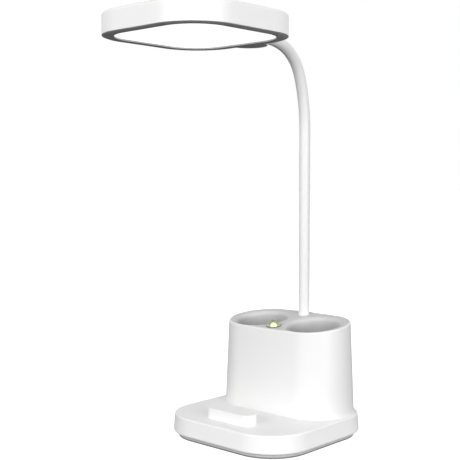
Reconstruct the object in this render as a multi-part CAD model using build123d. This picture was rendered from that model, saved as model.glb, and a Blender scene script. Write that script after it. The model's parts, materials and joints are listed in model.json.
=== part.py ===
from build123d import *
import math
import os

# Desk lamp on a square base, with a two-cup organiser body and a bendable neck.
# Millimetres. +X is the lamp's right, -Y its front, +Z up.
# The origin is the middle of the base, on the surface that the lamp stands on.

# Foot and bottom cover
PAD_INSET = 0.8
PAD_THICKNESS = 1.5
COVER_INSET = 3.7
COVER_CORNER_STEP = 3.3
COVER_LIP_HEIGHT = 2.6
COVER_THICKNESS = 4.5
COVER_EDGE_FILLET = 0.4

# Base shell
BASE_HALF = 70.2
BASE_CORNER = 40.0
BASE_HEIGHT = 15.7
BASE_DRAFT = 4.5
BASE_WALL = 2.3
BASE_TOP_FILLET = 1.4
BASE_BOTTOM_FILLET = 1.6

# Cups: two round holders whose size and margins give the oval body its size
CUP_RADIUS = 23.9
CUP_LAND = 12.0
CUP_END_MARGIN = 11.5
CUP_SIDE_MARGIN = 12.3
CUP_FORWARD_SHIFT = 1.7
CUP_MOUTH_FILLET = 3.9
CUP_WALL = 1.3
CUP_FLOOR = 1.8
CUP_FLOOR_FILLET = 1.2
CUP_DRAFT = 1.0
CUP_FLOOR_CLEARANCE = 0.8

# Cup body: a four-centre oval with draft, cut off by a sloping top
BODY_SIDE_BULGE = 1.2
BODY_BACK_MARGIN = 3.1
BODY_FRONT_HEIGHT = 73.7
BODY_DRAFT = 2.4
BODY_WALL = 1.7
BODY_FLOOR = 2.2
BODY_RIM_FILLET = 1.3
DECK_SLOPE = 7.2

# Deck of the cup insert
DECK_THICKNESS = 2.0
DECK_RECESS = 0.35
DECK_LEDGE = 0.9

# Phone stop
STOP_LENGTH = 50.9
STOP_WIDTH = 16.0
STOP_HEIGHT = 9.1
STOP_FRONT_MARGIN = 24.8
STOP_FILLET = 0.7
PEG_RADIUS = 2.2
PEG_LENGTH = 5.0
PEG_INSET = 10.45

# Night light
LENS_FROM_FRONT = 15.2
LENS_RADIUS = 5.7
LENS_HEIGHT = 4.6
RING_WIDTH = 0.8
RING_HEIGHT = 0.9
LIGHT_CHIP_SIDE = 2.8
LIGHT_CHIP_HEIGHT = 1.9
LIGHT_CHIP_ROOM = 0.5
LIGHT_BOARD_RADIUS = 8.0
LIGHT_BOARD_THICKNESS = 1.2

# Neck: a sleeved hose on a steel ferrule, straight and then bent in three arcs
NECK_BACK_MARGIN = 13.2
SLEEVE_RADIUS = 5.1
SLEEVE_BORE = 3.4
CORE_BORE = 1.5
NECK_BEND_START = 272.0
LOW_ARC_RADIUS = 150.0
LOW_ARC_ANGLE = 19.0
TIGHT_ARC_RADIUS = 40.0
TIGHT_ARC_ANGLE = 48.0
LAST_ARC_RADIUS = 60.0
LAST_ARC_ANGLE = 23.0
NECK_TAIL = 14.0
LINK_GAP = 0.3
LEAN_HEIGHT = 128.0
LOW_BEND_HEIGHT = 168.0
MID_BEND_HEIGHT = 228.0
HIGH_BEND_ALONG = 12.0
TURN_FROM_TAIL = 14.0
FERRULE_HEIGHT = 22.0
FERRULE_FLANGE_RADIUS = 9.0
FERRULE_FLANGE_HEIGHT = 2.0
FERRULE_SHANK_RADIUS = 4.6
FERRULE_SHANK_TAIL = 1.0
NUT_ACROSS_FLATS = 14.0
NUT_HEIGHT = 4.5

# Head
HEAD_HALF_WIDTH = 64.2
HEAD_HALF_DEPTH = 65.2
HEAD_WALL = 1.8
HEAD_TOP_FILLET = 3.0
HEAD_EDGE_FILLET = 0.5
BEZEL_RECESS = 0.2
BEZEL_THICKNESS = 2.0
PANEL_MARGIN = 9.8
PANEL_RECESS = 0.5
DIFFUSER_THICKNESS = 1.5
DIFFUSER_FLANGE = 4.0
BEZEL_EDGE_FILLET = 0.5
LED_BOARD_THICKNESS = 1.6
LED_POST_HEIGHT = 3.0
LED_POST_RADIUS = 3.2
LED_POST_INSET = 24.2
LED_BOARD_MARGIN = 13.0
LED_CHIP_LENGTH = 3.5
LED_CHIP_WIDTH = 2.8
LED_CHIP_HEIGHT = 0.7
LED_ROWS = 6
LED_TO_POST = 5.0

# Hub that joins the neck to the head
HUB_RADIUS = 16.0
HUB_SOCKET_DEPTH = 5.9
HUB_SET_IN = 0.45
HUB_FLOOR = 0.5
HUB_ROOF = 0.9
HUB_TOP_FILLET = 1.5
HUB_CAP_THICKNESS = 1.0
HUB_CAP_LIFT = 0.1
HUB_FLANGE_MARGIN = 6.0
HUB_FLANGE_THICKNESS = 2.4
HUB_FLANGE_DROP = 1.2
HUB_FLANGE_SIDE_GAP = 2.3
HUB_SCREW_INSET = 3.75

# Fasteners and what the base holds
SCREW_SHANK_RADIUS = 1.3
SCREW_HEAD_RADIUS = 2.6
SCREW_HEAD_HEIGHT = 1.4
SCREW_LENGTH = 7.0
SMALL_SCREW_LENGTH = 4.0
SCREW_TIP_GAP = 0.3
SCREW_SKIN = 0.5
COVER_SCREW_SINK = 0.3
COVER_SCREW_ROOM = 0.4
BOSS_RADIUS = 4.2
BOSS_INSET = 23.2
BOSS_TO_BODY_SCREW = 9.0
BODY_SCREW_SPACING_Y = 42.0
BODY_BOSS_HEIGHT = 5.0
BALLAST_INSET = 13.2
BALLAST_TO_BOARD = 12.9
BALLAST_BOSS_GAP = 0.8
BALLAST_THICKNESS = 4.5
BALLAST_CORNER = 12.0
BATTERY_LENGTH = 60.0
BATTERY_WIDTH = 36.0
BATTERY_HEADROOM = 1.4
BATTERY_CORNER = 2.0
BATTERY_EDGE_FILLET = 0.9
BOARD_LENGTH = 58.0
BOARD_DEPTH = 26.0
BOARD_THICKNESS = 1.6
BOARD_CORNER = 1.5
BOARD_LIFT = 1.2
BOARD_WALL_GAP = 0.6
BOARD_POST_RADIUS = 2.6
BOARD_POST_INSET = 3.6
USB_WIDTH = 9.0
USB_HEIGHT = 3.3
USB_DEPTH = 7.4
USB_WALL = 0.35
USB_CLEARANCE = 0.25
USB_FACE_INSET = 0.7
USB_BACK_WALL = 1.0
USB_TONGUE_THICKNESS = 0.7
USB_TONGUE_SIDE_GAP = 1.5
USB_TONGUE_INSET = 0.8

# Clearances
FIT_GAP = 0.05
LAY_IN_GAP = 0.12
SCREW_GAP = 0.08

# Working values for cuts and for picking edges
CUT_PAST = 10.0
TOUCH = 0.01

# Heights and places that follow from the sizes above
cover_half = BASE_HALF - COVER_INSET
cover_corner = BASE_CORNER - COVER_CORNER_STEP
cover_top = PAD_THICKNESS + COVER_THICKNESS
base_bottom = PAD_THICKNESS + COVER_LIP_HEIGHT
base_top = base_bottom + BASE_HEIGHT
base_ceiling = base_top - BASE_WALL
boss_spacing = 2 * (BASE_HALF - BOSS_INSET)
body_half_length = CUP_LAND / 2 + 2 * CUP_RADIUS + CUP_END_MARGIN
body_half_depth = CUP_RADIUS + CUP_SIDE_MARGIN
body_back_y = BASE_HALF - BODY_BACK_MARGIN
body_centre_y = body_back_y - body_half_depth
body_front_y = body_centre_y - body_half_depth
deck_origin_z = base_top + BODY_FRONT_HEIGHT
cup_x = CUP_LAND / 2 + CUP_RADIUS
cup_y = body_centre_y - CUP_FORWARD_SHIFT
lens_y = body_front_y + LENS_FROM_FRONT
stop_y = STOP_FRONT_MARGIN - BASE_HALF
peg_x = STOP_LENGTH / 2 - PEG_INSET
ballast_top = cover_top + BALLAST_THICKNESS
ferrule_foot = base_top + BODY_FLOOR
neck_foot = ferrule_foot + FERRULE_HEIGHT
neck_y = body_back_y - NECK_BACK_MARGIN
corner_points = [(-1, -1), (1, -1), (-1, 1), (1, 1)]


# ---------------------------------------------------------------- outlines
def rounded(half_x, half_y, corner, inset=0.0):
    """Rounded rectangle, moved inwards by inset."""
    return RectangleRounded(2 * (half_x - inset), 2 * (half_y - inset), corner - inset)


def oval(inset=0.0):
    """Four-centre oval of the cup body, moved inwards by inset."""
    half_length = body_half_length - inset
    half_depth = body_half_depth - inset
    end_radius = half_depth - BODY_SIDE_BULGE
    end_x = half_length - end_radius
    side_radius = (end_x**2 + half_depth**2 - end_radius**2) / (2 * BODY_SIDE_BULGE)
    side_y = half_depth - side_radius
    reach = math.hypot(end_x, side_y)
    touch_x = end_x / reach * side_radius
    touch_y = side_y - side_y / reach * side_radius
    front = ThreePointArc((-touch_x, -touch_y), (0, -half_depth), (touch_x, -touch_y))
    right = ThreePointArc((touch_x, -touch_y), (half_length, 0), (touch_x, touch_y))
    back = ThreePointArc((touch_x, touch_y), (0, half_depth), (-touch_x, touch_y))
    left = ThreePointArc((-touch_x, touch_y), (-half_length, 0), (-touch_x, -touch_y))
    return make_face([front, right, back, left])


def drafted(outline, low, high, draft, inset=0.0):
    """Solid between two heights whose outline shrinks upwards at the draft angle."""
    shrink = (high - low) * math.tan(math.radians(draft))
    foot = Pos(0, 0, low) * outline(inset)
    top = Pos(0, 0, high) * outline(inset + shrink)
    return loft([foot, top], ruled=True)


def prism(outline, low, high):
    """Upright solid between two heights."""
    return extrude(Pos(0, 0, low) * outline, amount=high - low)


def base_outline(inset=0.0):
    return rounded(BASE_HALF, BASE_HALF, BASE_CORNER, inset)


def cover_outline(inset=0.0):
    return rounded(cover_half, cover_half, cover_corner, inset)


def head_outline(inset=0.0):
    return Pos(0, head_y) * rounded(HEAD_HALF_WIDTH, HEAD_HALF_DEPTH, head_corner, inset)


def post(radius, low, high, x=0.0, y=0.0):
    """Upright cylinder at a place."""
    return prism(Pos(x, y) * Circle(radius), low, high)


def at_corners(spacing_x, spacing_y, centre_y=0.0):
    """The four corners of a rectangle round a centre."""
    return [(sx * spacing_x / 2, centre_y + sy * spacing_y / 2) for sx, sy in corner_points]


def screw_group(places, seat, length):
    """Pan-head screws driven upwards, with their heads against the face at seat."""
    screws = []
    for x, y in places:
        shank = post(SCREW_SHANK_RADIUS, seat, seat + length, x, y)
        head = post(SCREW_HEAD_RADIUS, seat - SCREW_HEAD_HEIGHT, seat, x, y)
        screws.append(shank + head)
    return Compound(children=screws)


# ---------------------------------------------------------------- sloping deck
def deck_height(y):
    """Height of the sloping deck plane above a place."""
    return deck_origin_z + math.tan(math.radians(DECK_SLOPE)) * (y - body_front_y)


def deck_plane(y, lift=0.0):
    """Plane on the sloping deck at a place, moved along its normal by lift."""
    slope = math.radians(DECK_SLOPE)
    normal = Vector(0, -math.sin(slope), math.cos(slope))
    place = Vector(0, y, deck_height(y)) + normal * lift
    return Plane(origin=place, x_dir=(1, 0, 0), z_dir=normal)


def below_deck(lift=0.0):
    """Everything under the deck plane, for cutting drafted solids to the slope."""
    size = 4 * body_half_length
    half_space = Box(size, size, size, align=(Align.CENTER, Align.CENTER, Align.MAX))
    return deck_plane(body_centre_y, lift) * half_space


def body_solid(inset, low, lift):
    """Drafted oval from a height up to the sloping deck plane."""
    highest = deck_height(body_back_y) + CUT_PAST
    start = inset + (low - base_top) * math.tan(math.radians(BODY_DRAFT))
    tall = drafted(oval, low, highest, BODY_DRAFT, start)
    return (Pos(0, body_centre_y, 0) * tall) & below_deck(lift)


# ---------------------------------------------------------------- neck path
neck_arcs = [
    (LOW_ARC_RADIUS, LOW_ARC_ANGLE),
    (TIGHT_ARC_RADIUS, TIGHT_ARC_ANGLE),
    (LAST_ARC_RADIUS, LAST_ARC_ANGLE),
]
neck_pieces = [(NECK_BEND_START - neck_foot, 0.0, 0.0)]
for arc_radius, arc_angle in neck_arcs:
    neck_pieces.append((math.radians(arc_angle) * arc_radius, arc_radius, arc_angle))
neck_pieces.append((NECK_TAIL, 0.0, 0.0))
neck_length = sum(piece[0] for piece in neck_pieces)


def along(distance):
    """Point on the neck's centre line and its lean from the vertical, in degrees."""
    y, z, lean, left = neck_y, neck_foot, 0.0, distance
    for length, radius, angle in neck_pieces:
        step = min(left, length)
        turned = lean + (angle * step / length if radius else 0.0)
        start, end = math.radians(lean), math.radians(turned)
        if radius:
            y -= radius * (math.cos(start) - math.cos(end))
            z += radius * (math.sin(end) - math.sin(start))
        else:
            y -= step * math.sin(start)
            z += step * math.cos(start)
        lean = turned
        left -= step
        if left <= 0:
            break
    return (0.0, y, z), lean


def across(distance):
    """Plane square to the neck's centre line."""
    place, lean = along(distance)
    tilt = math.radians(lean)
    return Plane(origin=place, x_dir=(1, 0, 0), z_dir=(0, -math.sin(tilt), math.cos(tilt)))


def neck_path(start, end):
    """Centre line between two distances, as lines and arcs."""
    edges = []
    reached = 0.0
    for length, radius, _ in neck_pieces:
        low, high = max(start, reached), min(end, reached + length)
        if high - low > TOUCH:
            first, middle, last = (along(s)[0] for s in (low, (low + high) / 2, high))
            edges.append(ThreePointArc(first, middle, last) if radius else Line(first, last))
        reached += length
    return Wire(edges)


hinge_distances = [
    LEAN_HEIGHT - neck_foot,
    LOW_BEND_HEIGHT - neck_foot,
    MID_BEND_HEIGHT - neck_foot,
    NECK_BEND_START - neck_foot + HIGH_BEND_ALONG,
    neck_length - NECK_TAIL - TURN_FROM_TAIL,
]
link_ends = [0.0] + hinge_distances + [neck_length]
LINK_COUNT = len(link_ends) - 1

# The hub holds the neck's end, and the head is built round the hub
neck_end_y, neck_end_z = along(neck_length)[0][1:]
hub_bottom = neck_end_z - SLEEVE_RADIUS - FIT_GAP - HUB_FLOOR
hub_top = neck_end_z + SLEEVE_RADIUS + FIT_GAP + HUB_ROOF
hub_y = neck_end_y + HUB_SOCKET_DEPTH - HUB_RADIUS
hub_flange_half = HUB_RADIUS + HUB_FLANGE_MARGIN
bezel_top = hub_bottom - HUB_CAP_THICKNESS - HUB_CAP_LIFT
bezel_bottom = bezel_top - BEZEL_THICKNESS
head_underside = bezel_bottom - BEZEL_RECESS
head_ceiling = hub_top + HUB_FLANGE_DROP
head_top = head_ceiling + HEAD_WALL
head_back_y = hub_y + HUB_SET_IN
head_y = head_back_y - HEAD_HALF_DEPTH
head_corner = HEAD_HALF_WIDTH - hub_flange_half - HUB_FLANGE_SIDE_GAP


def dome_ring(outer, bore):
    """Hollow dome for the top of a neck layer, on the ball that the next stretch turns about."""
    middle = (outer + bore) / 2
    outer_rise, middle_rise, bore_rise = (
        math.sqrt(max(SLEEVE_RADIUS**2 - reach**2, 0)) for reach in (outer, middle, bore))
    edges = [
        Line((bore, bore_rise), (bore, 0)),
        Line((bore, 0), (outer, 0)),
        ThreePointArc((outer, outer_rise), (middle, middle_rise), (bore, bore_rise)),
    ]
    if outer_rise > 0:
        edges.append(Line((outer, 0), (outer, outer_rise)))
    return revolve(Plane.XZ * make_face(edges), axis=Axis.Z)


def neck_link(number, outer, bore):
    """One stretch of a hollow neck layer, domed at its top and dished at its foot."""
    start, end = link_ends[number], link_ends[number + 1]
    link = sweep(across(start) * (Circle(outer) - Circle(bore)), path=neck_path(start, end))
    if number < LINK_COUNT - 1:
        link += across(end) * dome_ring(outer, bore)
    if number > 0:
        link -= across(start) * Sphere(SLEEVE_RADIUS + LINK_GAP)
    return link


# ---------------------------------------------------------------- base parts
def foot_pad():
    return prism(cover_outline(PAD_INSET), 0, PAD_THICKNESS)


def bottom_cover():
    cover = prism(cover_outline(), PAD_THICKNESS, cover_top)
    cover = fillet(cover.edges().group_by(Axis.Z)[-1], COVER_EDGE_FILLET)
    for x, y in at_corners(boss_spacing, boss_spacing):
        cover -= post(SCREW_SHANK_RADIUS + SCREW_GAP, PAD_THICKNESS, cover_top, x, y)
        cover -= post(SCREW_HEAD_RADIUS + COVER_SCREW_ROOM, PAD_THICKNESS, cover_screw_seat, x, y)
    for x in (-1, 1):
        cover += post(BOARD_POST_RADIUS, cover_top, board_bottom, x * board_post_x, board_y)
    return cover


cover_screw_seat = PAD_THICKNESS + SCREW_HEAD_HEIGHT + COVER_SCREW_SINK
board_bottom = cover_top + BOARD_LIFT
board_top = board_bottom + BOARD_THICKNESS
base_wall_y = BASE_HALF - (board_top - base_bottom) * math.tan(math.radians(BASE_DRAFT))
usb_mouth_y = base_wall_y - USB_FACE_INSET
board_y = base_wall_y - BASE_WALL - BOARD_WALL_GAP - BOARD_DEPTH / 2
board_post_x = BOARD_LENGTH / 2 - BOARD_POST_INSET
ballast_front = BALLAST_INSET - BASE_HALF
ballast_rear = board_y - BOARD_DEPTH / 2 - BALLAST_TO_BOARD
ballast_y = (ballast_front + ballast_rear) / 2
usb_middle = board_top + USB_HEIGHT / 2


def base_shell():
    shell = drafted(base_outline, base_bottom, base_top, BASE_DRAFT)
    shell = fillet(shell.edges().group_by(Axis.Z)[-1], BASE_TOP_FILLET)
    shell = fillet(shell.edges().group_by(Axis.Z)[0], BASE_BOTTOM_FILLET)
    shell -= drafted(base_outline, base_bottom, base_ceiling, BASE_DRAFT, BASE_WALL)
    cover_screw_tip = cover_screw_seat + SCREW_LENGTH + SCREW_TIP_GAP
    for x, y in at_corners(boss_spacing, boss_spacing):
        shell += post(BOSS_RADIUS, cover_top, base_ceiling, x, y)
        shell -= post(SCREW_SHANK_RADIUS + SCREW_GAP, cover_top, cover_screw_tip, x, y)
    for x, y in body_screw_places:
        shell -= post(SCREW_SHANK_RADIUS + SCREW_GAP, base_ceiling, base_top, x, y)
    for x in (-1, 1):
        shell -= post(PEG_RADIUS + FIT_GAP, base_ceiling, base_top, x * peg_x, stop_y)
    shell -= post(FERRULE_SHANK_RADIUS + FIT_GAP, base_ceiling, base_top, 0, neck_y)
    window = SlotOverall(USB_WIDTH + 2 * USB_CLEARANCE, USB_HEIGHT + 2 * USB_CLEARANCE)
    shell -= extrude(usb_mouth.offset(-CUT_PAST) * window, amount=CUT_PAST + USB_DEPTH)
    return shell


body_screw_places = at_corners(boss_spacing - 2 * BOSS_TO_BODY_SCREW, BODY_SCREW_SPACING_Y, body_centre_y)
usb_mouth = Plane(origin=(0, usb_mouth_y, usb_middle), x_dir=(1, 0, 0), z_dir=(0, -1, 0))


def usb_inlet():
    inlet = extrude(usb_mouth * SlotOverall(USB_WIDTH, USB_HEIGHT), amount=USB_DEPTH)
    hollow = SlotOverall(USB_WIDTH - 2 * USB_WALL, USB_HEIGHT - 2 * USB_WALL)
    inlet -= extrude(usb_mouth * hollow, amount=USB_DEPTH - USB_BACK_WALL)
    blade = Rectangle(USB_WIDTH - 2 * USB_TONGUE_SIDE_GAP, USB_TONGUE_THICKNESS)
    tongue = extrude(usb_mouth.offset(USB_TONGUE_INSET) * blade, amount=USB_DEPTH - USB_BACK_WALL)
    return inlet + tongue


def control_board():
    board = Pos(0, board_y) * RectangleRounded(BOARD_LENGTH, BOARD_DEPTH, BOARD_CORNER)
    return prism(board, board_bottom, board_top)


def ballast_plate():
    width = 2 * (BASE_HALF - BALLAST_INSET)
    outline = Pos(0, ballast_y) * RectangleRounded(width, ballast_rear - ballast_front, BALLAST_CORNER)
    plate = prism(outline, cover_top, ballast_top)
    for x, y in at_corners(boss_spacing, boss_spacing):
        plate -= post(BOSS_RADIUS + BALLAST_BOSS_GAP, cover_top, ballast_top, x, y)
    return plate


def battery():
    outline = Pos(0, ballast_y) * RectangleRounded(BATTERY_LENGTH, BATTERY_WIDTH, BATTERY_CORNER)
    cell = prism(outline, ballast_top, base_ceiling - BATTERY_HEADROOM)
    return fillet(cell.edges().filter_by(Plane.XY), BATTERY_EDGE_FILLET)


def cover_screws():
    return screw_group(at_corners(boss_spacing, boss_spacing), cover_screw_seat, SCREW_LENGTH)


def body_screws():
    return screw_group(body_screw_places, base_ceiling, SCREW_LENGTH)


def phone_stop():
    bar = prism(Pos(0, stop_y) * SlotOverall(STOP_LENGTH, STOP_WIDTH), base_top, base_top + STOP_HEIGHT)
    bar = fillet(bar.edges().group_by(Axis.Z)[-1], STOP_FILLET)
    for x in (-1, 1):
        bar += post(PEG_RADIUS, base_top - PEG_LENGTH, base_top, x * peg_x, stop_y)
    return bar


# ---------------------------------------------------------------- cup body
deck_underside = -DECK_RECESS - DECK_THICKNESS
body_boss_top = base_top + BODY_FLOOR + BODY_BOSS_HEIGHT
cup_floor_bottom = body_boss_top + CUP_FLOOR_CLEARANCE


def body_shell():
    shell = body_solid(0, base_top, 0)
    rim_plane = deck_plane(body_centre_y)
    rim_edges = [e for e in shell.edges() if abs(rim_plane.to_local_coords(e.center()).Z) < TOUCH]
    shell = fillet(rim_edges, BODY_RIM_FILLET)
    shell -= body_solid(BODY_WALL + DECK_LEDGE, base_top + BODY_FLOOR, 1)
    upper_room = body_solid(BODY_WALL, base_top + BODY_FLOOR, 1) - below_deck(deck_underside)
    shell -= upper_room
    body_screw_tip = base_ceiling + SCREW_LENGTH + SCREW_TIP_GAP
    for x, y in body_screw_places:
        shell += post(BOSS_RADIUS, base_top + BODY_FLOOR, body_boss_top, x, y)
        shell -= post(SCREW_SHANK_RADIUS + SCREW_GAP, base_top, body_screw_tip, x, y)
    shell -= post(FERRULE_SHANK_RADIUS + FIT_GAP, base_top, ferrule_foot, 0, neck_y)
    return shell


def cup_profile(radius, low, high):
    """Tapered round solid, at full radius on the deck plane's middle."""
    narrow = radius - (high - low) * math.tan(math.radians(CUP_DRAFT))
    return Pos(0, 0, low) * Cone(narrow, radius, high - low, align=(Align.CENTER, Align.CENTER, Align.MIN))


def cup_insert():
    top = deck_height(cup_y)
    lid = body_solid(BODY_WALL + LAY_IN_GAP, base_top + BODY_FLOOR, -DECK_RECESS)
    lid -= below_deck(deck_underside)
    for side in (-1, 1):
        place = Pos(side * cup_x, cup_y, 0)
        outside = place * cup_profile(CUP_RADIUS + CUP_WALL, cup_floor_bottom, top + CUT_PAST)
        lid += outside & below_deck(-DECK_RECESS)
    for side in (-1, 1):
        place = Pos(side * cup_x, cup_y, 0)
        lid -= place * cup_profile(CUP_RADIUS, cup_floor_bottom + CUP_FLOOR, top + CUT_PAST)
    deck = deck_plane(body_centre_y, -DECK_RECESS)
    on_deck = [e for e in lid.edges() if abs(deck.to_local_coords(e.center()).Z) < TOUCH]
    mouths = [e for e in on_deck if abs(abs(e.bounding_box().center().X) - cup_x) < CUP_WALL]
    lid = fillet(mouths, CUP_MOUTH_FILLET)
    inner_floors = [e for e in lid.edges() if abs(e.center().Z - cup_floor_bottom - CUP_FLOOR) < TOUCH]
    lid = fillet(inner_floors, CUP_FLOOR_FILLET)
    lid -= deck_plane(lens_y, -DECK_RECESS) * Cylinder(LENS_RADIUS + FIT_GAP, 4 * DECK_THICKNESS)
    lid -= post(SLEEVE_RADIUS + LAY_IN_GAP, base_top + BODY_FLOOR, top + CUT_PAST, 0, neck_y)
    return lid


# ---------------------------------------------------------------- night light
def light_place(lift):
    """Frame on the deck's own surface at the night light, moved up by lift."""
    return deck_plane(lens_y, -DECK_RECESS + lift)


def night_light_ring():
    outline = Circle(LENS_RADIUS + FIT_GAP + RING_WIDTH) - Circle(LENS_RADIUS + FIT_GAP)
    ring = light_place(0) * extrude(outline, amount=RING_HEIGHT)
    return ring


def night_light_lens():
    """Clear dome on a short collar, hollow underneath for the light chip."""
    collar = Cylinder(LENS_RADIUS, DECK_THICKNESS, align=(Align.CENTER, Align.CENTER, Align.MAX))
    quarter = Pos(LENS_RADIUS / 2, LENS_HEIGHT / 2) * Rectangle(LENS_RADIUS, LENS_HEIGHT)
    dome = revolve(Plane.XZ * (Ellipse(LENS_RADIUS, LENS_HEIGHT) & quarter), axis=Axis.Z)
    chip_reach = LIGHT_CHIP_SIDE / math.sqrt(2)
    chip_room = Pos(0, 0, -DECK_THICKNESS) * Cylinder(
        chip_reach + LIGHT_CHIP_ROOM, LIGHT_CHIP_HEIGHT + LIGHT_CHIP_ROOM,
        align=(Align.CENTER, Align.CENTER, Align.MIN))
    return light_place(0) * (collar + dome - chip_room)


def night_light_led():
    chip = Box(LIGHT_CHIP_SIDE, LIGHT_CHIP_SIDE, LIGHT_CHIP_HEIGHT,
               align=(Align.CENTER, Align.CENTER, Align.MIN))
    return light_place(-DECK_THICKNESS) * chip


def night_light_board():
    board = Cylinder(LIGHT_BOARD_RADIUS, LIGHT_BOARD_THICKNESS,
                     align=(Align.CENTER, Align.CENTER, Align.MAX))
    return light_place(-DECK_THICKNESS) * board


# ---------------------------------------------------------------- neck parts
def neck_ferrule():
    """Steel foot that the hose stands on: flange on the body's floor, shank through the base."""
    shank_foot = base_ceiling - NUT_HEIGHT - FERRULE_SHANK_TAIL
    ferrule = post(FERRULE_SHANK_RADIUS, shank_foot, ferrule_foot, 0, neck_y)
    ferrule += post(FERRULE_FLANGE_RADIUS, ferrule_foot, ferrule_foot + FERRULE_FLANGE_HEIGHT, 0, neck_y)
    ferrule += post(SLEEVE_RADIUS, ferrule_foot, neck_foot, 0, neck_y)
    ferrule -= post(CORE_BORE, shank_foot, neck_foot, 0, neck_y)
    return ferrule


def neck_nut():
    hexagon = RegularPolygon(NUT_ACROSS_FLATS / 2, 6, major_radius=False)
    outline = Pos(0, neck_y) * (hexagon - Circle(FERRULE_SHANK_RADIUS + FIT_GAP))
    return prism(outline, base_ceiling - NUT_HEIGHT, base_ceiling)


# ---------------------------------------------------------------- head parts
post_foot = head_ceiling - LED_POST_HEIGHT
led_board_bottom = post_foot - LED_BOARD_THICKNESS
led_post_x = HEAD_HALF_WIDTH - LED_POST_INSET
led_post_y = HEAD_HALF_DEPTH - LED_POST_INSET
led_post_places = at_corners(2 * led_post_x, 2 * led_post_y, head_y)
led_screw_tip = led_board_bottom + SMALL_SCREW_LENGTH


def hub_outline(gap=0.0):
    """Round lug, cut off straight at the inner face of the head's rear wall."""
    inner_y = head_back_y - HEAD_WALL
    keep = Pos(0, inner_y) * Rectangle(4 * HUB_RADIUS, 4 * HUB_RADIUS, align=(Align.CENTER, Align.MIN))
    return (Pos(0, hub_y) * Circle(HUB_RADIUS + gap)) & keep


def hub_screw_axis(side):
    """Frame of a hub screw on the flange's inner face, pointing out of the head."""
    middle = (hub_bottom + hub_top) / 2
    inner = head_back_y - HEAD_WALL - HUB_FLANGE_THICKNESS
    place = (side * (hub_flange_half - HUB_SCREW_INSET), inner, middle)
    return Plane(origin=place, x_dir=(1, 0, 0), z_dir=(0, 1, 0))


def head_cover():
    cover = prism(head_outline(), head_underside, head_top)
    cover = fillet(cover.edges().group_by(Axis.Z)[-1], HEAD_TOP_FILLET)
    cover = fillet(cover.edges().group_by(Axis.Z)[0], HEAD_EDGE_FILLET)
    cover -= prism(head_outline(HEAD_WALL), head_underside, head_ceiling)
    cover -= prism(hub_outline(FIT_GAP), bezel_top, hub_top + FIT_GAP)
    for x, y in led_post_places:
        cover += post(LED_POST_RADIUS, post_foot, head_ceiling, x, y)
        cover -= post(SCREW_SHANK_RADIUS + SCREW_GAP, post_foot, led_screw_tip + SCREW_TIP_GAP, x, y)
    for side in (-1, 1):
        cover -= hub_screw_axis(side) * Cylinder(
            SCREW_SHANK_RADIUS + SCREW_GAP, HUB_FLANGE_THICKNESS + HEAD_WALL - SCREW_SKIN,
            align=(Align.CENTER, Align.CENTER, Align.MIN))
    return cover


def head_bezel():
    outline = head_outline(HEAD_WALL + LAY_IN_GAP) - head_outline(PANEL_MARGIN)
    bezel = prism(outline, bezel_bottom, bezel_top)
    opening = bezel.faces().sort_by(Axis.Z)[0].inner_wires()[0].edges()
    return fillet(opening, BEZEL_EDGE_FILLET)


def diffuser():
    plate = prism(head_outline(PANEL_MARGIN - DIFFUSER_FLANGE), bezel_top, bezel_top + DIFFUSER_THICKNESS)
    panel = prism(head_outline(PANEL_MARGIN + LAY_IN_GAP), bezel_bottom + PANEL_RECESS, bezel_top)
    return plate + panel


def led_board():
    board = prism(head_outline(LED_BOARD_MARGIN), led_board_bottom, post_foot)
    for x, y in led_post_places:
        board -= post(SCREW_SHANK_RADIUS + SCREW_GAP, led_board_bottom, post_foot, x, y)
    return board


def led_chips():
    chips = []
    middle = (LED_ROWS - 1) / 2
    pitch_x = (led_post_x - LED_TO_POST) / middle
    pitch_y = (led_post_y - LED_TO_POST) / middle
    for row in range(LED_ROWS):
        for column in range(LED_ROWS):
            place = Pos((column - middle) * pitch_x, head_y + (row - middle) * pitch_y)
            outline = place * Rectangle(LED_CHIP_LENGTH, LED_CHIP_WIDTH)
            chips.append(prism(outline, led_board_bottom - LED_CHIP_HEIGHT, led_board_bottom))
    return Compound(children=chips)


def board_screws():
    return screw_group(led_post_places, led_board_bottom, SMALL_SCREW_LENGTH)


def hub():
    """Lug outside the rear wall and the flange inside it, with a blind hole for the neck."""
    lug = prism(hub_outline(), hub_bottom, hub_top)
    flange = Pos(0, head_back_y - HEAD_WALL - HUB_FLANGE_THICKNESS / 2) * Rectangle(
        2 * hub_flange_half, HUB_FLANGE_THICKNESS)
    lug += prism(flange, hub_bottom, hub_top)
    lug = fillet(lug.edges().group_by(Axis.Z)[-1].filter_by(GeomType.CIRCLE), HUB_TOP_FILLET)
    lug -= sweep(across(hub_hole_start) * Circle(SLEEVE_RADIUS + FIT_GAP),
                 path=neck_path(hub_hole_start, neck_length))
    for side in (-1, 1):
        lug -= hub_screw_axis(side) * Cylinder(SCREW_SHANK_RADIUS + SCREW_GAP, 3 * HUB_FLANGE_THICKNESS)
    return lug


hub_hole_start = neck_length - NECK_TAIL


def hub_cap():
    return prism(hub_outline(), hub_bottom - HUB_CAP_THICKNESS, hub_bottom)


def hub_screws():
    screws = []
    for side in (-1, 1):
        length = HUB_FLANGE_THICKNESS + HEAD_WALL - SCREW_SKIN - FIT_GAP
        shank = Cylinder(SCREW_SHANK_RADIUS, length, align=(Align.CENTER, Align.CENTER, Align.MIN))
        head = Cylinder(SCREW_HEAD_RADIUS, SCREW_HEAD_HEIGHT, align=(Align.CENTER, Align.CENTER, Align.MAX))
        screws.append(hub_screw_axis(side) * (shank + head))
    return Compound(children=screws)


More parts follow.
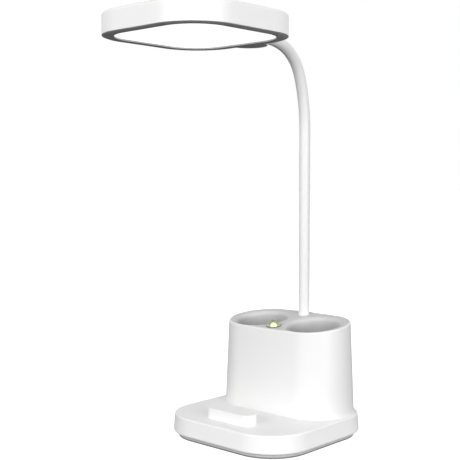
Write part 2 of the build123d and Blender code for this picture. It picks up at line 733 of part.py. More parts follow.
# ---------------------------------------------------------------- assembly
def make_parts():
    parts = {
        "foot_pad": foot_pad(),
        "bottom_cover": bottom_cover(),
        "cover_screws": cover_screws(),
        "base_shell": base_shell(),
        "ballast_plate": ballast_plate(),
        "battery": battery(),
        "control_board": control_board(),
        "usb_inlet": usb_inlet(),
        "body_screws": body_screws(),
        "body_shell": body_shell(),
        "cup_insert": cup_insert(),
        "phone_stop": phone_stop(),
        "night_light_ring": night_light_ring(),
        "night_light_lens": night_light_lens(),
        "night_light_led": night_light_led(),
        "night_light_board": night_light_board(),
        "neck_ferrule": neck_ferrule(),
        "neck_nut": neck_nut(),
        "hub": hub(),
        "hub_cap": hub_cap(),
        "hub_screws": hub_screws(),
        "head_cover": head_cover(),
        "head_bezel": head_bezel(),
        "diffuser": diffuser(),
        "led_board": led_board(),
        "led_chips": led_chips(),
        "board_screws": board_screws(),
    }
    for number in range(LINK_COUNT):
        parts[f"neck_sleeve_{number}"] = neck_link(number, SLEEVE_RADIUS, SLEEVE_BORE)
        parts[f"neck_core_{number}"] = neck_link(number, SLEEVE_BORE - FIT_GAP, CORE_BORE)
    return parts


os.makedirs("parts", exist_ok=True)
for node, shape in make_parts().items():
    export_step(shape, f"parts/{node}.step")
for number, distance in enumerate(hinge_distances):
    place, lean = along(distance)
    print(f"neck hinge {number + 1}: y {place[1]:.3f}, z {place[2]:.3f}, lean {lean:.2f} degrees")
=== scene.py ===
import json
import math
import bmesh
import bpy
from mathutils import Matrix, Vector


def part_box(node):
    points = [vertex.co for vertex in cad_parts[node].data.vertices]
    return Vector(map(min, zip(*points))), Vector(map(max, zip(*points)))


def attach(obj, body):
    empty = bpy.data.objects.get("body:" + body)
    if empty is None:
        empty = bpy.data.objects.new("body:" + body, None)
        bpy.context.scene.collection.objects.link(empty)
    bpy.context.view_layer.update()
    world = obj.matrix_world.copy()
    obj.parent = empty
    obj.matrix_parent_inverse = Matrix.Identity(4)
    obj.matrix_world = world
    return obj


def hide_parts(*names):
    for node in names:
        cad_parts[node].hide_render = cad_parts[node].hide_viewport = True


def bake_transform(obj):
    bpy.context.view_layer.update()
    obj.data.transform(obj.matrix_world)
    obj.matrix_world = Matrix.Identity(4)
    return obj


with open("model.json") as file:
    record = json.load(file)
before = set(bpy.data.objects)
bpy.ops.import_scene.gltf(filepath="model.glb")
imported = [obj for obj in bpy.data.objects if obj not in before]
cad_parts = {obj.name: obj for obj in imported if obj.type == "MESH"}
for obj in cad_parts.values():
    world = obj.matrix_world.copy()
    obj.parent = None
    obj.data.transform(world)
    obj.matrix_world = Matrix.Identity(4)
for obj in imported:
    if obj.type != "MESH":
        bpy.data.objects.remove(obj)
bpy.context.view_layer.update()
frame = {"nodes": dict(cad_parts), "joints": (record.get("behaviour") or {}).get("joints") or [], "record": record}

MM = 0.001

# ------------------------------------------------------------------ camera
CAMERA_PLACE = (0.51866, -0.61097, 0.22497)
CAMERA_TURN = 42.652
CAMERA_DIP = 3.103
SENSOR_WIDTH = 36.0
PHOTO_WIDTH = 460
FOCAL_PIXELS = 906.62
NEAR_LIMIT = 0.02
FAR_LIMIT = 20.0


def add_camera():
    data = bpy.data.cameras.new("camera")
    data.sensor_width = SENSOR_WIDTH
    data.lens = SENSOR_WIDTH * FOCAL_PIXELS / PHOTO_WIDTH
    data.clip_start = NEAR_LIMIT
    data.clip_end = FAR_LIMIT
    camera = bpy.data.objects.new("camera", data)
    camera.location = CAMERA_PLACE
    camera.rotation_euler = (math.radians(90 - CAMERA_DIP), 0, math.radians(CAMERA_TURN))
    bpy.context.scene.collection.objects.link(camera)
    bpy.context.scene.camera = camera


# ------------------------------------------------------------------ studio
STUDIO_MIDDLE = (0, -0.02, 0.17)
SOFTBOX_WIDTH = 0.4
TALL_SOFTBOX = 0.5
LOW_SOFTBOX = 0.2
LEFT_PLACE, LEFT_LIGHT = (0.113, -1.315, 0.50), 7.4
RIGHT_PLACE, RIGHT_LIGHT = (1.256, -0.356, 0.36), 8.0
LOW_PLACE, LOW_LIGHT = (0.836, -1.016, 0.05), 0.8
HORIZON_LIGHT = 1.05
OVERHEAD_LIGHT = 0.42
WHITE = (1, 1, 1, 1)
FLOOR_SIZE = 30
FLOOR_GAP = 0.2 * MM
FLOOR_TONE = 0.7
FLOOR_ROUGHNESS = 0.9
FLOOR_GLOW = 0.85
FLOOR_NEAR = 0.30
FLOOR_FAR = 0.10
FLOOR_NEAR_REACH = 0.105
FLOOR_FAR_REACH = 0.17


def grey(level):
    return (level, level, level)


def add_softbox(name, place, height, power):
    data = bpy.data.lights.new(name, "AREA")
    data.shape = "RECTANGLE"
    data.size = SOFTBOX_WIDTH
    data.size_y = height
    data.energy = power
    light = bpy.data.objects.new(name, data)
    light.location = place
    aim = Vector(STUDIO_MIDDLE) - Vector(place)
    light.rotation_euler = aim.to_track_quat("-Z", "Y").to_euler()
    bpy.context.scene.collection.objects.link(light)


def add_studio():
    """Two softboxes beside the camera and a low one under it, in a room that is brightest at the horizon."""
    add_softbox("left_softbox", LEFT_PLACE, TALL_SOFTBOX, LEFT_LIGHT)
    add_softbox("right_softbox", RIGHT_PLACE, TALL_SOFTBOX, RIGHT_LIGHT)
    add_softbox("low_softbox", LOW_PLACE, LOW_SOFTBOX, LOW_LIGHT)
    world = bpy.data.worlds.new("studio")
    world.use_nodes = True
    nodes, links = world.node_tree.nodes, world.node_tree.links
    room = nodes["Background"]
    room.inputs["Color"].default_value = WHITE
    direction = nodes.new("ShaderNodeTexCoord")
    split = nodes.new("ShaderNodeSeparateXYZ")
    height = nodes.new("ShaderNodeMapRange")
    height.inputs["From Min"].default_value = 0.0
    height.inputs["From Max"].default_value = 1.0
    height.inputs["To Min"].default_value = HORIZON_LIGHT
    height.inputs["To Max"].default_value = OVERHEAD_LIGHT
    links.new(direction.outputs["Generated"], split.inputs["Vector"])
    links.new(split.outputs["Z"], height.inputs["Value"])
    links.new(height.outputs["Result"], room.inputs["Strength"])
    backdrop = nodes.new("ShaderNodeBackground")
    backdrop.inputs["Color"].default_value = WHITE
    sight = nodes.new("ShaderNodeLightPath")
    choice = nodes.new("ShaderNodeMixShader")
    links.new(sight.outputs["Is Camera Ray"], choice.inputs[0])
    links.new(room.outputs[0], choice.inputs[1])
    links.new(backdrop.outputs[0], choice.inputs[2])
    links.new(choice.outputs[0], nodes["World Output"].inputs["Surface"])
    bpy.context.scene.world = world
    bpy.context.scene.view_settings.view_transform = "Standard"


def add_floor():
    """Pale floor: near white to the eye, but only the floor next to the base throws light back up.
    From below it is clear, so that the lamp's underside can be looked at."""
    bpy.ops.mesh.primitive_plane_add(size=FLOOR_SIZE, location=(0, 0, -FLOOR_GAP))
    floor = bpy.context.active_object
    floor.name = "studio_floor"
    material = bpy.data.materials.new("studio_floor")
    material.use_nodes = True
    nodes, links = material.node_tree.nodes, material.node_tree.links
    seen = nodes["Principled BSDF"]
    seen.inputs["Base Color"].default_value = (*grey(FLOOR_TONE), 1)
    seen.inputs["Roughness"].default_value = FLOOR_ROUGHNESS
    seen.inputs["Specular IOR Level"].default_value = 0.0
    seen.inputs["Emission Color"].default_value = WHITE
    seen.inputs["Emission Strength"].default_value = FLOOR_GLOW
    bounce = nodes.new("ShaderNodeBsdfDiffuse")
    place = nodes.new("ShaderNodeTexCoord")
    distance = nodes.new("ShaderNodeVectorMath")
    distance.operation = "LENGTH"
    fall = nodes.new("ShaderNodeMapRange")
    fall.inputs["From Min"].default_value = FLOOR_NEAR_REACH
    fall.inputs["From Max"].default_value = FLOOR_FAR_REACH
    fall.inputs["To Min"].default_value = FLOOR_NEAR
    fall.inputs["To Max"].default_value = FLOOR_FAR
    links.new(place.outputs["Object"], distance.inputs[0])
    links.new(distance.outputs["Value"], fall.inputs["Value"])
    links.new(fall.outputs["Result"], bounce.inputs["Color"])
    sight = nodes.new("ShaderNodeLightPath")
    choice = nodes.new("ShaderNodeMixShader")
    links.new(sight.outputs["Is Camera Ray"], choice.inputs[0])
    links.new(bounce.outputs[0], choice.inputs[1])
    links.new(seen.outputs[0], choice.inputs[2])
    side = nodes.new("ShaderNodeNewGeometry")
    clear = nodes.new("ShaderNodeBsdfTransparent")
    below = nodes.new("ShaderNodeMixShader")
    links.new(side.outputs["Backfacing"], below.inputs[0])
    links.new(choice.outputs[0], below.inputs[1])
    links.new(clear.outputs[0], below.inputs[2])
    links.new(below.outputs[0], nodes["Material Output"].inputs["Surface"])
    floor.data.materials.append(material)


# ------------------------------------------------------------------ shared surface effects
def group_socket(group, name, direction, kind, value=None):
    socket = group.interface.new_socket(name, in_out=direction, socket_type=kind)
    if value is not None:
        socket.default_value = value


def make_moulding_group():
    """Tone drift, fine grain and roughness drift of a moulded surface."""
    group = bpy.data.node_groups.new("moulding_surface", "ShaderNodeTree")
    group_socket(group, "Tone", "INPUT", "NodeSocketColor", (0.8, 0.8, 0.8, 1))
    group_socket(group, "Shade", "INPUT", "NodeSocketColor", (0.7, 0.7, 0.7, 1))
    group_socket(group, "Drift Scale", "INPUT", "NodeSocketFloat", 18.0)
    group_socket(group, "Grain Scale", "INPUT", "NodeSocketFloat", 900.0)
    group_socket(group, "Smooth", "INPUT", "NodeSocketFloat", 0.3)
    group_socket(group, "Rough", "INPUT", "NodeSocketFloat", 0.4)
    group_socket(group, "Color", "OUTPUT", "NodeSocketColor")
    group_socket(group, "Roughness", "OUTPUT", "NodeSocketFloat")
    group_socket(group, "Height", "OUTPUT", "NodeSocketFloat")
    nodes, links = group.nodes, group.links
    entry = nodes.new("NodeGroupInput")
    result = nodes.new("NodeGroupOutput")
    place = nodes.new("ShaderNodeTexCoord")
    drift = nodes.new("ShaderNodeTexNoise")
    drift.inputs["Detail"].default_value = 3.0
    grain = nodes.new("ShaderNodeTexNoise")
    grain.inputs["Detail"].default_value = 2.0
    links.new(place.outputs["Object"], drift.inputs["Vector"])
    links.new(place.outputs["Object"], grain.inputs["Vector"])
    links.new(entry.outputs["Drift Scale"], drift.inputs["Scale"])
    links.new(entry.outputs["Grain Scale"], grain.inputs["Scale"])
    tone = nodes.new("ShaderNodeMix")
    tone.data_type = "RGBA"
    links.new(drift.outputs["Fac"], tone.inputs["Factor"])
    links.new(entry.outputs["Shade"], tone.inputs["A"])
    links.new(entry.outputs["Tone"], tone.inputs["B"])
    links.new(tone.outputs["Result"], result.inputs["Color"])
    polish = nodes.new("ShaderNodeMix")
    blend = nodes.new("ShaderNodeMath")
    blend.operation = "ADD"
    halve = nodes.new("ShaderNodeMath")
    halve.operation = "MULTIPLY"
    halve.inputs[1].default_value = 0.5
    links.new(drift.outputs["Fac"], blend.inputs[0])
    links.new(grain.outputs["Fac"], blend.inputs[1])
    links.new(blend.outputs["Value"], halve.inputs[0])
    links.new(halve.outputs["Value"], polish.inputs["Factor"])
    links.new(entry.outputs["Smooth"], polish.inputs["A"])
    links.new(entry.outputs["Rough"], polish.inputs["B"])
    links.new(polish.outputs["Result"], result.inputs["Roughness"])
    links.new(grain.outputs["Fac"], result.inputs["Height"])
    return group


DRIFT_SCALE = 18.0
GRAIN_HEIGHT = 0.5 * MM


def moulded(name, tone, shade, smooth, rough, grain_scale=900.0, grain_depth=0.02, metallic=0.0):
    """Material whose colour, roughness and bump come from the moulding group."""
    material = bpy.data.materials.new(name)
    material.use_nodes = True
    tree = material.node_tree
    shader = tree.nodes["Principled BSDF"]
    surface = tree.nodes.new("ShaderNodeGroup")
    surface.node_tree = MOULDING
    surface.inputs["Tone"].default_value = (*tone, 1)
    surface.inputs["Shade"].default_value = (*shade, 1)
    surface.inputs["Drift Scale"].default_value = DRIFT_SCALE
    surface.inputs["Grain Scale"].default_value = grain_scale
    surface.inputs["Smooth"].default_value = smooth
    surface.inputs["Rough"].default_value = rough
    bump = tree.nodes.new("ShaderNodeBump")
    bump.inputs["Strength"].default_value = grain_depth
    bump.inputs["Distance"].default_value = GRAIN_HEIGHT
    tree.links.new(surface.outputs["Color"], shader.inputs["Base Color"])
    tree.links.new(surface.outputs["Roughness"], shader.inputs["Roughness"])
    tree.links.new(surface.outputs["Height"], bump.inputs["Height"])
    tree.links.new(bump.outputs["Normal"], shader.inputs["Normal"])
    shader.inputs["Metallic"].default_value = metallic
    return material


def shader_of(material):
    return material.node_tree.nodes["Principled BSDF"]


def glowing(material, colour, strength):
    shader = shader_of(material)
    shader.inputs["Emission Color"].default_value = colour
    shader.inputs["Emission Strength"].default_value = strength


DECK_SLOPE = 7.2
# painted shade: the cups' walls darken to CUP_SHADE of their tone over CUP_FADE below the deck
CUP_FADE = 11 * MM
CUP_SHADE = 0.76


def deck_normal():
    slope = math.radians(DECK_SLOPE)
    return Vector((0, -math.sin(slope), math.cos(slope)))


def ring_middle():
    low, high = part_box("night_light_ring")
    return (low + high) / 2


def make_painted_cup_shade_group():
    """Painted shade: a tone that falls off below the sloping deck, darkening the cups' walls with depth."""
    group = bpy.data.node_groups.new("cup_painted_shade", "ShaderNodeTree")
    group_socket(group, "Color", "INPUT", "NodeSocketColor", (0.6, 0.6, 0.6, 1))
    group_socket(group, "Deck", "INPUT", "NodeSocketFloat", 0.09)
    group_socket(group, "Color", "OUTPUT", "NodeSocketColor")
    nodes, links = group.nodes, group.links
    entry = nodes.new("NodeGroupInput")
    result = nodes.new("NodeGroupOutput")
    place = nodes.new("ShaderNodeTexCoord")
    height = nodes.new("ShaderNodeVectorMath")
    height.operation = "DOT_PRODUCT"
    height.inputs[1].default_value = deck_normal()
    depth = nodes.new("ShaderNodeMath")
    depth.operation = "SUBTRACT"
    fall = nodes.new("ShaderNodeMapRange")
    fall.interpolation_type = "SMOOTHSTEP"
    fall.inputs["From Min"].default_value = -CUP_FADE
    fall.inputs["From Max"].default_value = 0.0
    fall.inputs["To Min"].default_value = CUP_SHADE
    fall.inputs["To Max"].default_value = 1.0
    tone = nodes.new("ShaderNodeVectorMath")
    tone.operation = "SCALE"
    links.new(place.outputs["Object"], height.inputs[0])
    links.new(height.outputs["Value"], depth.inputs[0])
    links.new(entry.outputs["Deck"], depth.inputs[1])
    links.new(depth.outputs["Value"], fall.inputs["Value"])
    links.new(entry.outputs["Color"], tone.inputs[0])
    links.new(fall.outputs["Result"], tone.inputs["Scale"])
    links.new(tone.outputs["Vector"], result.inputs["Color"])
    return group


def paint_cup_shade(material):
    """Puts the cups' painted shade between the moulding group and the shader."""
    tree = material.node_tree
    shader = shader_of(material)
    source = shader.inputs["Base Color"].links[0].from_socket
    depth = tree.nodes.new("ShaderNodeGroup")
    depth.node_tree = CUP_PAINTED_SHADE
    depth.inputs["Deck"].default_value = ring_middle().dot(deck_normal())
    tree.links.new(source, depth.inputs["Color"])
    tree.links.new(depth.outputs["Color"], shader.inputs["Base Color"])


MOULDING = make_moulding_group()
CUP_PAINTED_SHADE = make_painted_cup_shade_group()
PHOSPHOR_GLOW_AND_HIGHLIGHT = (1, 1, 0.82, 1)
LENS_CLARITY = 0.9
LENS_IOR = 1.49


def make_materials():
    made = {}
    made["white_plastic"] = moulded("white_plastic", (0.84, 0.84, 0.838), (0.825, 0.825, 0.823),
                                    0.36, 0.44)
    # the white plastic a shade darker for the body: partly moulding-to-moulding tone, partly painted shade on the
    # body's faces
    made["body_plastic_shaded"] = moulded("body_plastic_shaded", (0.805, 0.805, 0.803), (0.79, 0.79, 0.788),
                                   0.36, 0.44)
    # deck tone: partly a greyer plastic, partly painted shade for the deck's upward-sloping face
    made["deck_plastic"] = moulded("deck_plastic", grey(0.59), grey(0.575), 0.42, 0.5)
    # painted shade on the deck plastic, darker with depth down the cups' walls
    paint_cup_shade(made["deck_plastic"])
    # painted shade: this mid grey stands in for the shade on the head's underside, on the head frame and the lug
    # cap
    made["dark_plastic"] = moulded("dark_plastic", grey(0.56), grey(0.54), 0.5, 0.62, 1400, 0.08)
    made["foot_rubber"] = moulded("foot_rubber", grey(0.22), grey(0.19), 0.7, 0.85, 1800, 0.12)
    made["neck_sleeve"] = moulded("neck_sleeve", (0.80, 0.80, 0.797), (0.785, 0.785, 0.782), 0.42, 0.52)
    made["screw_steel"] = moulded("screw_steel", grey(0.62), grey(0.5),
                                  0.25, 0.4, 2500, 0.1, metallic=1.0)
    made["ballast_steel"] = moulded("ballast_steel", grey(0.32), grey(0.22),
                                    0.4, 0.6, 700, 0.1, metallic=1.0)
    made["ferrule_steel"] = moulded("ferrule_steel", grey(0.68), grey(0.6),
                                    0.2, 0.32, 2500, 0.05, metallic=1.0)
    made["hose_steel"] = moulded("hose_steel", grey(0.5), grey(0.4), 0.3, 0.45, 1200, 0.1, metallic=1.0)
    made["inlet_steel"] = moulded("inlet_steel", grey(0.72), grey(0.65),
                                  0.2, 0.3, 2500, 0.05, metallic=1.0)
    made["ring_chrome"] = moulded("ring_chrome", (0.22, 0.23, 0.18), (0.17, 0.18, 0.13),
                                  0.2, 0.3, metallic=1.0)
    made["battery_wrap"] = moulded("battery_wrap", (0.6, 0.62, 0.68), (0.52, 0.54, 0.6), 0.3, 0.45)
    made["circuit_board"] = moulded("circuit_board", (0.02, 0.16, 0.06), (0.015, 0.12, 0.045), 0.3, 0.4)
    made["led_board_alu"] = moulded("led_board_alu", grey(0.85), grey(0.8), 0.35, 0.5)
    made["phosphor"] = moulded("phosphor", (0.78, 0.8, 0.5), (0.7, 0.72, 0.42), 0.4, 0.5)
    # the bead's glow: partly the night light's own light, partly a painted highlight seen through the dome
    glowing(made["phosphor"], PHOSPHOR_GLOW_AND_HIGHLIGHT, 1.1)
    made["opal_diffuser"] = moulded("opal_diffuser", grey(0.9), grey(0.88), 0.3, 0.38)
    glowing(made["opal_diffuser"], WHITE, 1.0)
    made["clear_lens"] = moulded("clear_lens", (0.58, 0.62, 0.42), (0.52, 0.56, 0.36), 0.03, 0.06)
    shader = shader_of(made["clear_lens"])
    shader.inputs["Transmission Weight"].default_value = LENS_CLARITY
    shader.inputs["IOR"].default_value = LENS_IOR
    return made


def dress_nodes(made):
    slots = {part["node"]: part["material_slot"] for part in frame["record"]["subparts"]}
    # the body shell takes the painted-shade copy of the white plastic
    slots["body_shell"] = "body_plastic_shaded"
    for node, piece in frame["nodes"].items():
        piece.data.materials.clear()
        piece.data.materials.append(made[slots[node]])


# ------------------------------------------------------------------ modelling helpers
TINY = 1e-6


def start_piece(name, add, **options):
    """Adds one primitive, named, with nothing else selected, and enters edit mode."""
    bpy.ops.object.select_all(action="DESELECT")
    add(**options)
    piece = bpy.context.active_object
    piece.name = name
    piece.data.name = name
    bpy.ops.object.transform_apply(location=True, rotation=True, scale=True)
    bpy.ops.object.mode_set(mode="EDIT")
    bpy.ops.mesh.select_mode(type="VERT")
    return piece


def end_piece(piece, material, smooth_angle=35.0):
    """Leaves edit mode with normals outwards, smooth by angle, and with its material."""
    bpy.ops.mesh.select_all(action="SELECT")
    bpy.ops.mesh.remove_doubles(threshold=TINY)
    bpy.ops.mesh.normals_make_consistent(inside=False)
    bpy.ops.object.mode_set(mode="OBJECT")
    bpy.ops.object.shade_smooth_by_angle(angle=math.radians(smooth_angle))
    piece.data.materials.clear()
    piece.data.materials.append(material)


def pick_edges(piece, test):
    """Selects only the edges that pass the test, which is given the edge and its middle."""
    bpy.ops.mesh.select_mode(type="EDGE")
    bpy.ops.mesh.select_all(action="DESELECT")
    mesh = bmesh.from_edit_mesh(piece.data)
    for edge in mesh.edges:
        if test(edge, (edge.verts[0].co + edge.verts[1].co) / 2):
            edge.select_set(True)
    bmesh.update_edit_mesh(piece.data)


def pick_faces(piece, test):
    """Selects only the faces whose middle passes the test."""
    bpy.ops.mesh.select_mode(type="FACE")
    bpy.ops.mesh.select_all(action="DESELECT")
    mesh = bmesh.from_edit_mesh(piece.data)
    for face in mesh.faces:
        if test(face.calc_center_median()):
            face.select_set(True)
    bmesh.update_edit_mesh(piece.data)


def extrude_by(move):
    bpy.ops.mesh.extrude_region_move(TRANSFORM_OT_translate={"value": move})


CORNER_STEPS = 40


def rounded_square(name, half_x, half_y, corner, centre_y, height):
    """Flat rounded square whose corners are bevelled round, left selected in edit mode."""
    middle = (0, centre_y, height)
    piece = start_piece(name, bpy.ops.mesh.primitive_plane_add, size=2, location=middle)
    bpy.ops.mesh.select_all(action="SELECT")
    bpy.ops.transform.resize(value=(half_x, half_y, 1), center_override=middle)
    bpy.ops.mesh.bevel(offset=corner, affect="VERTICES", segments=CORNER_STEPS, profile=0.5)
    bpy.ops.mesh.select_mode(type="FACE")
    bpy.ops.mesh.select_all(action="SELECT")
    return piece


def open_middle(wall):
    """Insets the flat outline by the wall and takes the middle out, leaving a selected ring."""
    bpy.ops.mesh.inset(thickness=wall, depth=0)
    bpy.ops.mesh.delete(type="FACE")
    bpy.ops.mesh.select_all(action="SELECT")


# ------------------------------------------------------------------ head trim
FRAME_DROP = 0.55 * MM
FRAME_INSET = 0.1 * MM
FRAME_TAPER = 1.6 * MM
RIM_OVERLAP = 0.1 * MM
SHELL_WALL = 1.92 * MM
HEAD_CORNER = 39.9 * MM
PANEL_MARGIN = 9.8 * MM
CAP_HEIGHT = 1.0 * MM
CAP_EDGE = 0.25 * MM
CAP_STEPS = 3
LUG_SIDES = 96
LUG_GAP = 0.02 * MM
TRIM_SMOOTH = 50


def make_head_frame(material):
    """Dark frame, its grey painted shade for the head's underside: a plate that covers the shell's lower edge,
    with a rim that sits inside the shell.
    """
    low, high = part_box("head_cover")
    half_x, half_y = (high.x - low.x) / 2, (high.y - low.y) / 2
    centre_y = (low.y + high.y) / 2
    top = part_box("head_bezel")[1].z
    plate = rounded_square("frame_plate", half_x - FRAME_INSET, half_y - FRAME_INSET,
                           HEAD_CORNER - FRAME_INSET, centre_y, low.z)
    bpy.ops.mesh.flip_normals()
    bpy.ops.mesh.inset(thickness=FRAME_TAPER, depth=FRAME_DROP)
    open_middle(PANEL_MARGIN - FRAME_INSET - FRAME_TAPER)
    pick_edges(plate, lambda edge, place: edge.is_boundary and place.z < low.z - FRAME_DROP / 2)
    extrude_by((0, 0, FRAME_DROP))
    pick_edges(plate, lambda edge, place: edge.is_boundary)
    bpy.ops.mesh.bridge_edge_loops()
    end_piece(plate, material, TRIM_SMOOTH)
    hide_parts("head_bezel")
    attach(plate, "head")
    rim = rounded_square("frame_rim", half_x - SHELL_WALL, half_y - SHELL_WALL,
                         HEAD_CORNER - SHELL_WALL, centre_y, low.z - RIM_OVERLAP)
    open_middle(PANEL_MARGIN - SHELL_WALL)
    extrude_by((0, 0, top - low.z + RIM_OVERLAP))
    end_piece(rim, material, TRIM_SMOOTH)
    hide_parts("head_bezel")
    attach(rim, "head")


def half_disc(name, low, high, edge, material):
    """Half disc behind the head's rear wall, with a rounded lower edge."""
    lug_low, lug_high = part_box("hub_cap")
    radius = (lug_high.x - lug_low.x) / 2
    centre_y = lug_high.y - radius
    wall_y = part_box("head_cover")[1].y
    piece = start_piece(name, bpy.ops.mesh.primitive_circle_add, vertices=LUG_SIDES, radius=radius,
                        fill_type="NGON", location=(0, centre_y, low))
    bpy.ops.mesh.select_all(action="SELECT")
    bpy.ops.mesh.bisect(plane_co=(0, wall_y + LUG_GAP, low), plane_no=(0, 1, 0), clear_inner=True)
    bpy.ops.mesh.select_mode(type="FACE")
    bpy.ops.mesh.select_all(action="SELECT")
    extrude_by((0, 0, high - low))
    if edge:
        pick_edges(piece, lambda side, place: abs(place.z - low) < TINY)
        bpy.ops.mesh.bevel(offset=edge, segments=CAP_STEPS, profile=0.5)
    end_piece(piece, material, TRIM_SMOOTH)
    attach(piece, "head")
    return piece


def make_lug(cap_painted_shade, body_material):
    """The lug's lower part: a light body and a dark cap, its grey painted shade for the head's underside, level
    with the head's lower edge.
    """
    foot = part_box("head_cover")[0].z
    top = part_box("hub_cap")[1].z
    cap = half_disc("lug_cap", foot, foot + CAP_HEIGHT, CAP_EDGE, cap_painted_shade)
    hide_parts("hub_cap")
    half_disc("lug_foot", foot + CAP_HEIGHT, top, 0, body_material)


# ------------------------------------------------------------------ night light
DOME_RADIUS = 6.3 * MM
DOME_HEIGHT = 5.7 * MM
DOME_SKIRT = 0.02 * MM
DOME_LIFT = 0.03 * MM
DOME_SIDES = 64
DOME_RINGS = 32
DOME_SMOOTH = 60
BEAD_RADIUS = 2.1 * MM
BEAD_HEIGHT = 2.4 * MM
BEAD_SKIRT = 1.9 * MM
BEAD_SINK = 0.6 * MM
RING_BEAD = 0.42 * MM
RING_SIDES = 96
RING_BEAD_SIDES = 16
RING_TO_DECK = 0.45 * MM


def tilted(piece, place, slope):
    """Turns a piece that was made round the origin onto the deck."""
    piece.matrix_world = Matrix.Translation(place) @ Matrix.Rotation(slope, 4, "X")
    bpy.ops.object.select_all(action="DESELECT")
    piece.select_set(True)
    bpy.context.view_layer.objects.active = piece
    bpy.ops.object.transform_apply(location=True, rotation=True, scale=True)


def dome_piece(name, radius, height, skirt, material):
    """Domed solid on the deck: the upper half of a ball, pressed to its height, on a short skirt."""
    piece = start_piece(name, bpy.ops.mesh.primitive_uv_sphere_add, segments=DOME_SIDES,
                        ring_count=DOME_RINGS, radius=radius)
    bpy.ops.mesh.select_all(action="SELECT")
    bpy.ops.mesh.bisect(plane_co=(0, 0, 0), plane_no=(0, 0, 1), clear_inner=True, use_fill=True)
    bpy.ops.mesh.select_all(action="SELECT")
    bpy.ops.transform.resize(value=(1, 1, height / radius), center_override=(0, 0, 0))
    pick_faces(piece, lambda place: abs(place.z) < TINY)
    extrude_by((0, 0, -skirt))
    end_piece(piece, material, DOME_SMOOTH)
    return piece


def make_night_light(made):
    """Clear dome on the deck with a glowing chip under it, whose glow is also a painted highlight in the dome, and
    a thin ring round its foot.
    """
    slope = math.radians(DECK_SLOPE)
    normal = deck_normal()
    deck = ring_middle() - normal * RING_TO_DECK
    dome = dome_piece("light_dome", DOME_RADIUS, DOME_HEIGHT, DOME_SKIRT, made["clear_lens"])
    tilted(dome, deck + normal * DOME_LIFT, slope)
    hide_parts("night_light_lens")
    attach(dome, "base")
    bead = dome_piece("light_bead", BEAD_RADIUS, BEAD_HEIGHT, BEAD_SKIRT, made["phosphor"])
    tilted(bead, deck - normal * BEAD_SINK, slope)
    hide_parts("night_light_led")
    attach(bead, "base")
    ring = start_piece("light_ring", bpy.ops.mesh.primitive_torus_add,
                       major_radius=DOME_RADIUS + RING_BEAD * 0.6, minor_radius=RING_BEAD,
                       major_segments=RING_SIDES, minor_segments=RING_BEAD_SIDES)
    end_piece(ring, made["ring_chrome"], DOME_SMOOTH)
    tilted(ring, deck + normal * RING_BEAD * 0.5, slope)
    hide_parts("night_light_ring")
    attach(ring, "base")


# ------------------------------------------------------------------ neck
SLEEVE_SIDES = 48
RING_STEP = 2.0 * MM
NECK_BEND_START = 272.0 * MM
NECK_ARCS = ((150.0 * MM, 19.0), (40.0 * MM, 48.0), (60.0 * MM, 23.0))
NECK_TAIL = 14.0 * MM
BLEND_REACH = 16.0 * MM
BLEND_SHARE = 0.92
SLEEVE_WALL = 1.7 * MM
CORE_WALL = 0.85 * MM
SEARCH_STEP = RING_STEP / 4


def neck_stretches(foot):
    """Straight runs and arcs of the neck from its foot: (length, radius, degrees)."""
    runs = [(NECK_BEND_START - foot, 0.0, 0.0)]
    runs += [(math.radians(angle) * radius, radius, angle) for radius, angle in NECK_ARCS]
    runs.append((NECK_TAIL, 0.0, 0.0))
    return runs


def neck_point(runs, foot, neck_y, distance):
    """Point on the neck's centre line and its lean, in radians."""
    y, z, lean, left = neck_y, foot, 0.0, distance
    for length, radius, angle in runs:
        step = min(left, length)
        turned = lean + (math.radians(angle) * step / length if radius else 0.0)
        if radius:
            y -= radius * (math.cos(lean) - math.cos(turned))
            z += radius * (math.sin(turned) - math.sin(lean))
        else:
            y -= step * math.sin(lean)
            z += step * math.cos(lean)
        lean = turned
        left -= step
        if left <= 0:
            break
    return Vector((0, y, z)), lean


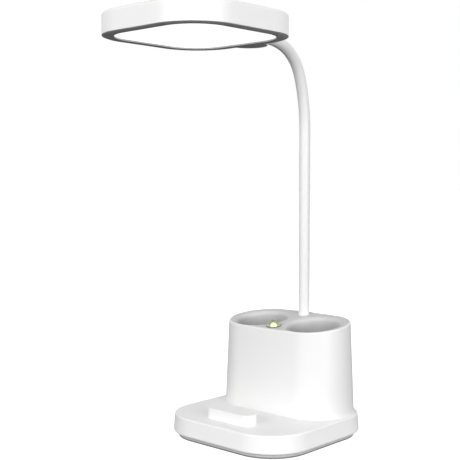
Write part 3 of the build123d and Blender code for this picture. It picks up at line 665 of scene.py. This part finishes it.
def neck_piece(name, runs, foot, neck_y, start, end, radius, wall, material):
    """One stretch of tube: a flat ring extruded up the straight runs and spun round the arcs."""
    place, lean = neck_point(runs, foot, neck_y, start)
    piece = start_piece(name, bpy.ops.mesh.primitive_circle_add, vertices=SLEEVE_SIDES, radius=radius,
                        fill_type="NGON", location=place, rotation=(lean, 0, 0))
    bpy.ops.mesh.select_mode(type="FACE")
    bpy.ops.mesh.select_all(action="SELECT")
    open_middle(wall)
    reached = 0.0
    for length, arc_radius, angle in runs:
        low, high = max(start, reached), min(end, reached + length)
        reached += length
        if high - low < TINY:
            continue
        first, first_lean = neck_point(runs, foot, neck_y, low)
        last, _ = neck_point(runs, foot, neck_y, high)
        steps = max(2, round((high - low) / RING_STEP))
        if arc_radius:
            middle = first + Vector((0, -math.cos(first_lean), -math.sin(first_lean))) * arc_radius
            turn = (high - low) / arc_radius
            bpy.ops.mesh.spin(steps=steps, angle=-turn, center=middle, axis=(1, 0, 0))
        else:
            for _ in range(steps):
                extrude_by((last - first) / steps)
    end_piece(piece, material)
    return piece


def make_neck(made):
    """Sleeve and core, one stretch per joint."""
    low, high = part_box("neck_sleeve_0")
    core_low, core_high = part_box("neck_core_0")
    foot, neck_y = low.z, (low.y + high.y) / 2
    runs = neck_stretches(foot)
    total = sum(run[0] for run in runs)
    tubes = (("sleeve", (high.x - low.x) / 2, SLEEVE_WALL, "neck_sleeve"),
             ("core", (core_high.x - core_low.x) / 2, CORE_WALL, "hose_steel"))
    turns = []
    for joint in frame["joints"]:
        centre = Vector(joint["pos_m"])
        turns.append(min((k * SEARCH_STEP for k in range(int(total / SEARCH_STEP))),
                         key=lambda s: (neck_point(runs, foot, neck_y, s)[0] - centre).length))
    cuts = [0.0] + [(a + b) / 2 for a, b in zip(turns, turns[1:])] + [total]
    for number, turn in enumerate(turns):
        reach = min(BLEND_REACH, turn - cuts[number], cuts[number + 1] - turn) * BLEND_SHARE
        begin = neck_point(runs, foot, neck_y, turn - reach)[0]
        finish = neck_point(runs, foot, neck_y, turn + reach)[0]
        for tube, radius, wall, slot in tubes:
            piece = neck_piece(f"{tube}_stretch_{number + 1}", runs, foot, neck_y, cuts[number],
                               cuts[number + 1], radius, wall, made[slot])
            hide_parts(f"neck_{tube}_{number}")
            if number == len(turns) - 1:
                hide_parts(f"neck_{tube}_{number + 1}")
            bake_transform(piece)


# ------------------------------------------------------------------ scene
add_camera()
add_studio()
add_floor()
materials = make_materials()
dress_nodes(materials)
make_neck(materials)
# head frame and lug cap in the dark plastic: painted shade under the head
make_head_frame(materials["dark_plastic"])
make_lug(materials["dark_plastic"], materials["white_plastic"])
make_night_light(materials)
